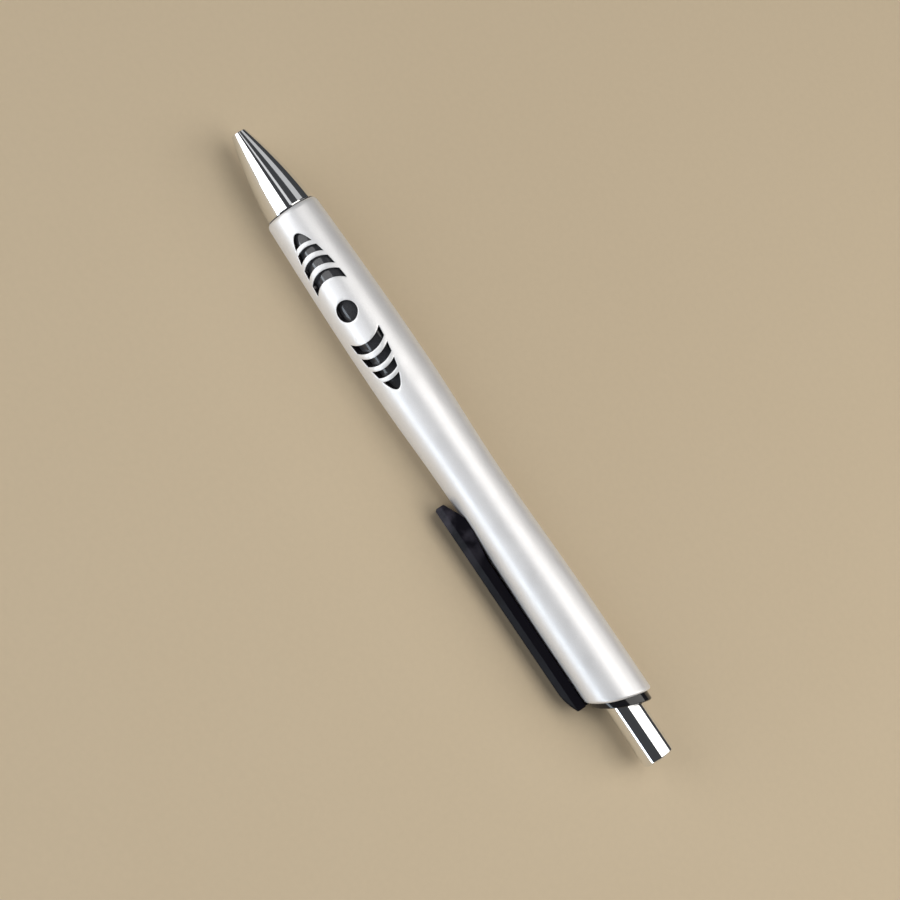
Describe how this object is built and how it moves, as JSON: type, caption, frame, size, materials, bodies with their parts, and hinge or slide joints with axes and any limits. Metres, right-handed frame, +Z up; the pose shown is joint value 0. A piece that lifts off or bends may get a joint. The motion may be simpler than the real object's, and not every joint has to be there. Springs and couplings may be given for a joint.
{
  "type": "retractable ballpoint pen",
  "caption": "Retractable ballpoint pen: waisted silver barrel with a pierced grip, chrome nose cone, black side clip and a sprung push button that moves the refill through a cam.",
  "frame": {"origin": "middle of the pen's box, on the table that it lies on", "axes": "+X along the pen from the nose tip to the push button, +Z up, the clip on the -Y side, turned down to the table"},
  "size_m": [0.14, 0.0148, 0.0121],
  "materials": {
    "chrome": "polished chrome plating on brass",
    "bright_cap": "polished bright aluminium",
    "silver_lacquer": "satin silver lacquer on a moulded barrel",
    "black_gloss": "glossy black moulding",
    "black_satin": "satin black moulding",
    "white_plastic": "natural moulded plastic",
    "spring_steel": "drawn steel wire",
    "refill_metal": "drawn metal tube",
    "point_brass": "turned brass",
    "ink": "thick ink"
  },
  "bodies": {
    "pen_body": {"barrel": "silver_lacquer", "nose_cone": "chrome", "grip_liner": "black_gloss", "clip": "black_satin", "end_collar": "black_gloss", "cam_sleeve": "white_plastic", "return_spring": "spring_steel"},
    "plunger": {"push_button": "bright_cap", "cam_pusher": "white_plastic"},
    "refill": {"refill_tube": "refill_metal", "refill_point": "point_brass", "ink_column": "ink"},
    "rotor": {"cam_rotor": "white_plastic"},
    "ball": {"writing_ball": "spring_steel"}
  },
  "joints": [
    {"name": "button_slide", "type": "slide", "parent": "pen_body", "child": "plunger", "axis": [-1, 0, 0], "range_m": [0, 0.0065], "stiffness_N_per_m": 200, "springref_m": -0.006, "deforming": ["return_spring"]},
    {"name": "refill_slide", "type": "slide", "parent": "pen_body", "child": "refill", "axis": [-1, 0, 0], "range_m": [0, 0.0065], "deforming": ["return_spring"]},
    {"name": "rotor_turn", "type": "hinge", "parent": "refill", "child": "rotor", "pos_m": [0.04, 0.00138, 0.00605], "axis": [1, 0, 0], "range_deg": [0, 60]},
    {"name": "ball_roll", "type": "hinge", "parent": "refill", "child": "ball", "pos_m": [-0.06795, 0.00138, 0.00605], "axis": [0, 1, 0], "continuous": true}
  ],
  "couplings": [
    {"joint": "refill_slide", "follows": "button_slide", "ratio": 1},
    {"joint": "rotor_turn", "follows": "button_slide", "rad_per_m": 161.1}
  ]
}
